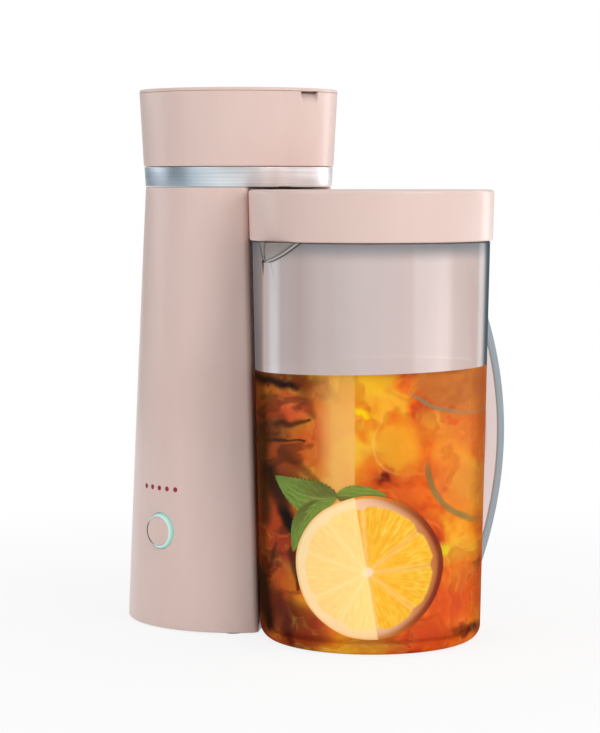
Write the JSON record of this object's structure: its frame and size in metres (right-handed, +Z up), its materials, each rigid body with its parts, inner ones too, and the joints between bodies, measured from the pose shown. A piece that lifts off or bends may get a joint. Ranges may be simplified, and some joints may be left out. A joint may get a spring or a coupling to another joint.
{
  "type": "iced tea maker",
  "caption": "Free-standing brewing tower with a hinged top lid and ring-lit button, docked with a clear lidded pitcher that has a spout and a bowed handle.",
  "frame": {"origin": "centre of the whole object's outline on the table, tower and docked pitcher together", "axes": "+Z up, -Y towards the controls on the tower's front, +X from the tower towards the pitcher"},
  "size_m": [0.2427, 0.1726, 0.32],
  "materials": {
    "blush_plastic": "satin blush pink moulding",
    "blush_plastic_inner": "matte blush pink moulding",
    "brushed_steel": "brushed round the band",
    "fastener_steel": "plated",
    "cast_aluminium": "as cast",
    "milky_plastic": "milky translucent moulding",
    "silicone": "matte translucent",
    "black_rubber": "matte",
    "circuit_board": "lacquered",
    "switch_plastic": "moulded",
    "mint_light_guide": "lit from behind",
    "red_lamp": "dark red lens",
    "clear_plastic": "clear, polished"
  },
  "bodies": {
    "tower": {"tower_shell": "blush_plastic", "base_plate": "blush_plastic_inner", "foot_1": "black_rubber", "foot_2": "black_rubber", "foot_3": "black_rubber", "foot_4": "black_rubber", "foot_5": "black_rubber", "base_screw_1": "fastener_steel", "base_screw_2": "fastener_steel", "base_screw_3": "fastener_steel", "base_screw_4": "fastener_steel", "steel_band": "brushed_steel", "head_shell": "blush_plastic", "lid_hinge_pin": "fastener_steel", "brew_basket": "milky_plastic", "filter_cup": "milky_plastic", "water_tank": "milky_plastic", "tank_cradle": "milky_plastic", "tank_grommet": "black_rubber", "check_valve": "milky_plastic", "heater_block": "cast_aluminium", "thermostat": "fastener_steel", "thermal_fuse": "fastener_steel", "inlet_hose": "silicone", "riser_tube": "silicone", "riser_nozzle": "milky_plastic", "light_ring": "mint_light_guide", "led_1": "red_lamp", "led_2": "red_lamp", "led_3": "red_lamp", "led_4": "red_lamp", "led_5": "red_lamp", "control_board": "circuit_board", "button_switch": "switch_plastic", "cord_gland": "black_rubber"},
    "top_lid": {"top_lid": "blush_plastic", "shower_plate": "milky_plastic"},
    "power_button": {"power_button": "blush_plastic"},
    "pitcher": {"pitcher_jug": "clear_plastic", "pitcher_handle": "clear_plastic"},
    "pitcher_lid": {"pitcher_lid": "blush_plastic", "lid_plug": "blush_plastic_inner", "lid_gasket": "silicone"}
  },
  "joints": [
    {"name": "top_lid_hinge", "type": "hinge", "parent": "tower", "child": "top_lid", "pos_m": [-0.11668, -0.01082, 0.3164], "axis": [0, -1, 0], "range_deg": [0, 100]},
    {"name": "power_button_press", "type": "slide", "parent": "tower", "child": "power_button", "axis": [0, 1, 0], "range_m": [0, 0.0012], "stiffness_N_per_m": 1200},
    {"name": "pitcher_slide", "type": "slide", "parent": "tower", "child": "pitcher", "axis": [1, 0, 0], "range_m": [0, 0.16]},
    {"name": "pitcher_lid_turn", "type": "hinge", "parent": "pitcher", "child": "pitcher_lid", "pos_m": [0.05042, -0.01082, 0.2314], "axis": [0, 0, -1], "range_deg": [0, 180]}
  ]
}
